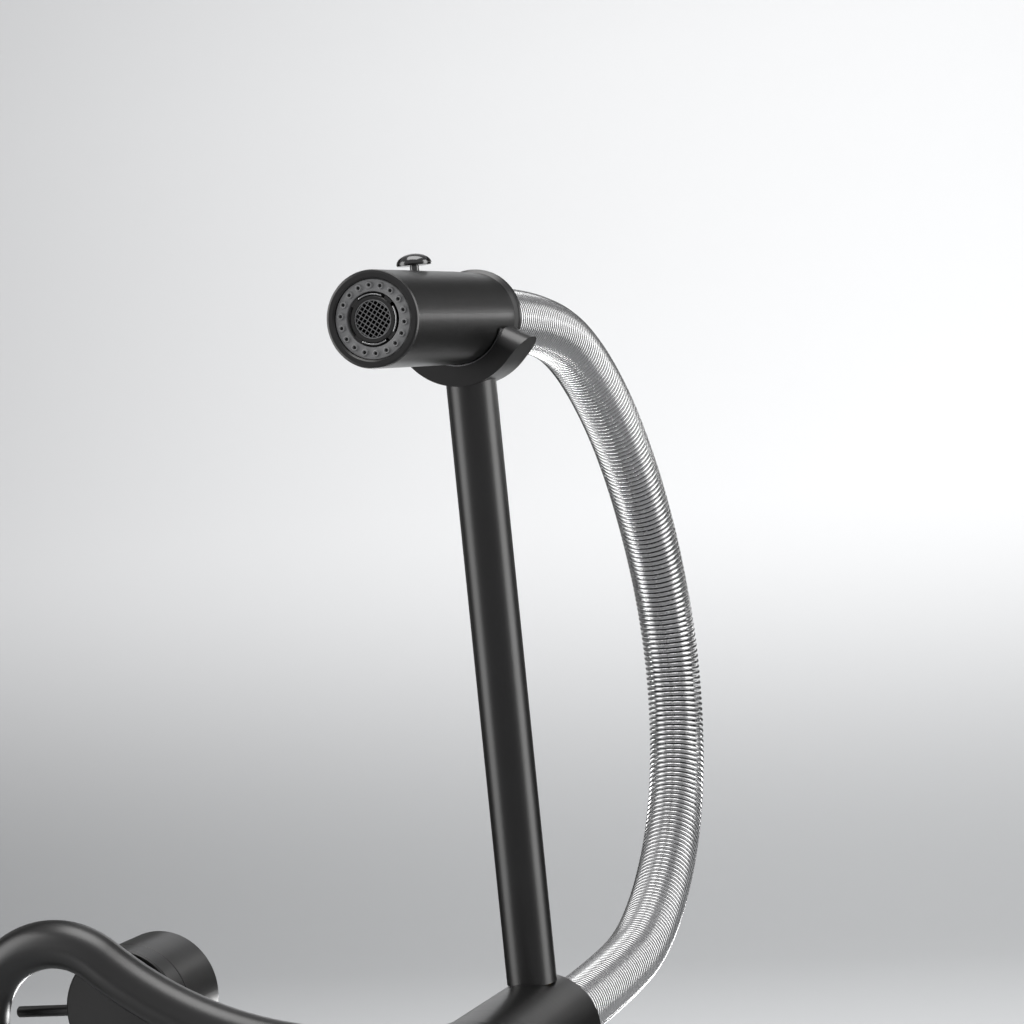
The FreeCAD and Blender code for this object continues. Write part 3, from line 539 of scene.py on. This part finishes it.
def add_key_arcs(material):
    """The polished edge of the aerator's key ring, seen between its lugs."""
    radius = 0.0101
    bead = 0.00034
    half_span = 30
    steps = 24
    middles = (-5, 92, 268)
    pieces = []
    for middle in middles:
        centres = []
        across = []
        for step in range(steps + 1):
            outward = face_direction(math.radians(middle - half_span + 2 * half_span * step / steps))
            centres.append(FACE_MIDDLE + outward * radius)
            across.append((outward, Vector(INTO_HEAD)))
        pieces.append(tube_along(f"key_arc_{middle}", centres, 10, bead, across))
    arcs = join(pieces)
    arcs.data.materials.append(material)
    return arcs


# ---------------------------------------------------------------- the button and its spring
BUTTON_Y = middle_of("button_spring").y
SPRING_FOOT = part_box("button_spring")[0].z
SPRING_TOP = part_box("button_spring")[1].z


def add_button(material):
    """The push button with a smooth dome over a short skirt; its foot stands on the spring."""
    shaft = 0.0019
    foot = 0.0034
    foot_height = 0.0015
    cap = 0.0074
    height = 0.0052
    underside = 0.0079
    skirt = 0.0009
    steps = 20
    dome = [
        (cap * math.cos(turn), underside + skirt + (height - skirt) * math.sin(turn))
        for turn in (math.pi / 2 * step / steps for step in range(steps))
    ]
    outline = [
        (0, 0),
        (foot, 0),
        (foot, foot_height),
        (shaft, foot_height),
        (shaft, underside + 0.0004),
        (cap * 0.9, underside + 0.0002),
        (cap * 0.97, underside + 0.0003),
        *dome,
        (0, underside + height),
    ]
    return lathe("button_dome", outline, (0, BUTTON_Y, SPRING_TOP), (0, 0, 1), material)


def add_button_coil(material):
    """The button's spring as a real coil, in place of the CAD one and carried by the spray head."""
    wire = 0.0003
    radius = 0.003
    turns = 6
    steps = 24
    start = SPRING_FOOT + 2 * wire
    rise = SPRING_TOP - SPRING_FOOT - 4 * wire
    centres = []
    across = []
    for step in range(turns * steps + 1):
        angle = 2 * math.pi * step / steps
        outward = Vector((math.cos(angle), math.sin(angle), 0))
        height = start + rise * step / (turns * steps)
        centres.append(Vector((0, BUTTON_Y, height)) + outward * radius)
        across.append((outward, Vector((0, 0, 1))))
    coil = tube_along("button_coil", centres, WIRE_SIDES, wire, across)
    coil.data.materials.append(material)
    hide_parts("button_spring")
    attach(coil, "spray_head")
    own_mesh(coil)


# ---------------------------------------------------------------- the shank
SHANK_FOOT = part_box("mounting_shank")[0].z
SHANK_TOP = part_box("mounting_shank")[1].z
SHANK_SIDES = 72
THREAD_TOP = -0.03
THREAD_PITCH = 0.0015
THREAD_CREST = 0.016
THREAD_DEPTH = 0.0008


def thread_radius(z, share):
    """The thread's radius at a height and a share of a turn; the ridge fades at both ends."""
    ridge = abs((z / THREAD_PITCH + share) % 1.0 - 0.5) * 2
    fade_below = (z - SHANK_FOOT) / THREAD_PITCH / 2
    fade_above = max(0.0, (THREAD_TOP - z) / THREAD_PITCH)
    fade = max(0.2, min(1.0, fade_below, fade_above))
    return THREAD_CREST - THREAD_DEPTH + THREAD_DEPTH * ridge * fade


def shank_rings():
    """The shank's rings as (z, radii): down its outside from the neck in the gasket, then up its bore."""
    sleeve = 0.0165
    neck = 0.015
    neck_foot = -0.0004
    bore = 0.013
    round_rings = [
        (SHANK_TOP, neck),
        (neck_foot, neck),
        (neck_foot, sleeve),
        (THREAD_TOP, sleeve),
        (THREAD_TOP, THREAD_CREST),
    ]
    rings = [(z, [radius] * SHANK_SIDES) for z, radius in round_rings]
    rows = round((THREAD_TOP - SHANK_FOOT) / THREAD_PITCH * 8)
    for row in range(1, rows + 1):
        z = THREAD_TOP + (SHANK_FOOT - THREAD_TOP) * row / rows
        rings.append((z, [thread_radius(z, side / SHANK_SIDES) for side in range(SHANK_SIDES)]))
    rings.append((SHANK_FOOT, [bore] * SHANK_SIDES))
    rings.append((SHANK_TOP, [bore] * SHANK_SIDES))
    return rings


def add_thread(material):
    """The shank under the deck: a plain sleeve, then a real screw thread down to its end."""
    rings = shank_rings()
    vertices = []
    for z, radii in rings:
        for side, radius in enumerate(radii):
            angle = 2 * math.pi * side / SHANK_SIDES
            vertices.append((radius * math.cos(angle), radius * math.sin(angle), z))
    faces = []
    for ring in range(len(rings)):
        low = ring * SHANK_SIDES
        high = (ring + 1) % len(rings) * SHANK_SIDES
        for side in range(SHANK_SIDES):
            following = (side + 1) % SHANK_SIDES
            faces.append((low + side, high + side, high + following, low + following))
    piece = mesh_object("shank_thread", vertices, faces)
    piece.data.set_sharp_from_angle(angle=math.radians(50))
    piece.data.materials.append(material)
    return piece


def add_details(materials):
    """Finer pieces in place of, or beside, the plain CAD ones."""
    add_button_coil(materials["stainless"])
    nozzles = add_nozzles(materials["silicone"])
    button = add_button(materials["button_steel"])
    thread = add_thread(materials["brass"])
    # Dark plugs in the nozzle holes, painted shade.
    hole_shade_plugs = add_nozzle_pits(materials["rubber"])
    arcs = add_key_arcs(materials["polished_steel"])
    for piece, body, slot, node in (
        (nozzles, "spray_head", "silicone", "nozzle_plate"),
        (button, "mode_button", "gunmetal", "mode_button"),
        (thread, "base", "brass", "mounting_shank"),
        (hole_shade_plugs, "spray_head", "rubber", None),
        (arcs, "spray_head", "polished_steel", None),
    ):
        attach(piece, body)
        if node:
            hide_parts(node)


# ---------------------------------------------------------------- studio
FLOOR_HEIGHT = -0.16
FLOOR_FRONT = -9.0
PAPER_BACK = 2.6
PAPER_TOP = 3.2
PAPER_BEND = 1.0
PAPER_HALF_WIDTH = 9.0


def studio_paper():
    """Matt paper, painted grey on the floor and paler up the backdrop: painted shade for the light's
    fall-off.
    """
    made = Material("studio_paper")
    place = made.place()
    grain = made.noise(place, 20.0)
    height = made.node("ShaderNodeSeparateXYZ", Vector=place).outputs["Z"]
    rise = made.node("ShaderNodeMapRange", Value=height, From_Min=-0.17, From_Max=0.28)
    rise.interpolation_type = "SMOOTHSTEP"
    # Painted shade: the paper's colour darkens from the backdrop down to the floor.
    shade = made.mix(rise.outputs["Result"], grey(0.33, 0.03), grey(0.76, 0.01))
    made.set(Base_Color=shade, Roughness=made.ramp(grain, 0.88, 0.92, start=0, end=1))
    return made.material


def add_stage():
    """A pale floor that curves up into a backdrop."""
    bend_start = PAPER_BACK - PAPER_BEND
    outline = [(FLOOR_FRONT, FLOOR_HEIGHT), (bend_start, FLOOR_HEIGHT)]
    steps = 16
    for step in range(1, steps + 1):
        turn = math.pi / 2 * step / steps
        y = bend_start + PAPER_BEND * math.sin(turn)
        z = FLOOR_HEIGHT + PAPER_BEND * (1 - math.cos(turn))
        outline.append((y, z))
    outline.append((PAPER_BACK, PAPER_TOP))
    vertices = [(x, y, z) for y, z in outline for x in (-PAPER_HALF_WIDTH, PAPER_HALF_WIDTH)]
    faces = [(2 * i, 2 * i + 1, 2 * i + 3, 2 * i + 2) for i in range(len(outline) - 1)]
    sweep = mesh_object("studio_sweep", vertices, faces)
    sweep.data.materials.append(studio_paper())


MIDDLE = Vector((0, 0.05, 0.3))
TO_CAMERA = Vector((0.33, -0.94, 0)).normalized()
TO_RIGHT = Vector((0.94, 0.33, 0)).normalized()


def round_the_object(turn, distance, height):
    """A place at that many degrees to the right of the camera, seen from the object."""
    angle = math.radians(turn)
    level = TO_CAMERA * math.cos(angle) + TO_RIGHT * math.sin(angle)
    return Vector((MIDDLE.x, MIDDLE.y, height)) + level * distance


def aim(item, at, target):
    """Puts a light or card at a place and turns its face towards the target."""
    item.location = at
    item.rotation_euler = (Vector(target) - Vector(at)).to_track_quat("-Z", "Y").to_euler()


def add_light(name, at, target, size, radiance):
    """A soft box whose face has the given brightness."""
    light = bpy.data.lights.new(name, "AREA")
    light.shape = "RECTANGLE"
    light.size, light.size_y = size
    light.energy = radiance * math.pi * size[0] * size[1]
    box = bpy.data.objects.new(name, light)
    aim(box, at, target)
    bpy.context.collection.objects.link(box)
    return box


def add_hidden_light(name, at, target, size, radiance):
    """A soft box that shows in reflections only."""
    box = add_light(name, at, target, size, radiance)
    box.visible_camera = False
    box.visible_diffuse = False


def add_soft_boxes():
    """Tall boxes on both sides, one above, two seen only in reflections, and a glow on the backdrop."""
    level = 0.45
    side_target = (MIDDLE.x, MIDDLE.y, level)
    side_size = (0.7, 1.8)
    side_distance = 1.2
    add_light("box_left", round_the_object(-82, side_distance, level), side_target, side_size, 1.6)
    add_light("box_right", round_the_object(82, side_distance, level), side_target, side_size, 2.2)
    add_light("box_top", (0, 0.1, 1.8), MIDDLE, (1.2, 1.2), 2.4)
    strip_at = round_the_object(141, 0.8, 0.448)
    add_hidden_light("strip_right", strip_at, MIDDLE, (1.0, 0.035), 3.0)
    add_hidden_light("low_rear", (-0.15, 0.5, -0.08), (0, 0, 0.12), (0.5, 0.14), 9.0)
    glow_at = round_the_object(180, 0.6, 0.5)
    glow = add_light("backdrop_glow", glow_at, (-0.9, PAPER_BACK, 0.7), (2.0, 0.6), 10.5)
    glow.visible_camera = False


def add_cards():
    """Two black cards behind the object, which only darken reflections."""
    width = 1.0
    height = 1.5
    distance = 0.95
    level = 0.35
    black = plain("black_card", 0.01, 0.9, size=50)
    corners = [(x * width / 2, y * height / 2, 0) for x, y in ((-1, -1), (1, -1), (1, 1), (-1, 1))]
    for turn in (-140, 140):
        card = mesh_object(f"card_{turn}", corners, [(0, 1, 2, 3)])
        card.data.materials.append(black)
        aim(card, round_the_object(turn, distance, level), (MIDDLE.x, MIDDLE.y, level))
        card.visible_camera = False
        card.visible_diffuse = False
        card.visible_shadow = False


def set_surroundings():
    """A faint cool light from all round, shown with no film look."""
    world = bpy.data.worlds.new("studio")
    world.use_nodes = True
    background = world.node_tree.nodes["Background"]
    background.inputs["Color"].default_value = (0.81, 0.81, 0.83, 1)
    background.inputs["Strength"].default_value = 0.36
    bpy.context.scene.world = world
    bpy.context.scene.view_settings.view_transform = "Standard"


add_camera()
add_hose()
materials = slot_materials()
dress_cad(materials)
add_details(materials)
add_stage()
add_soft_boxes()
add_cards()
set_surroundings()
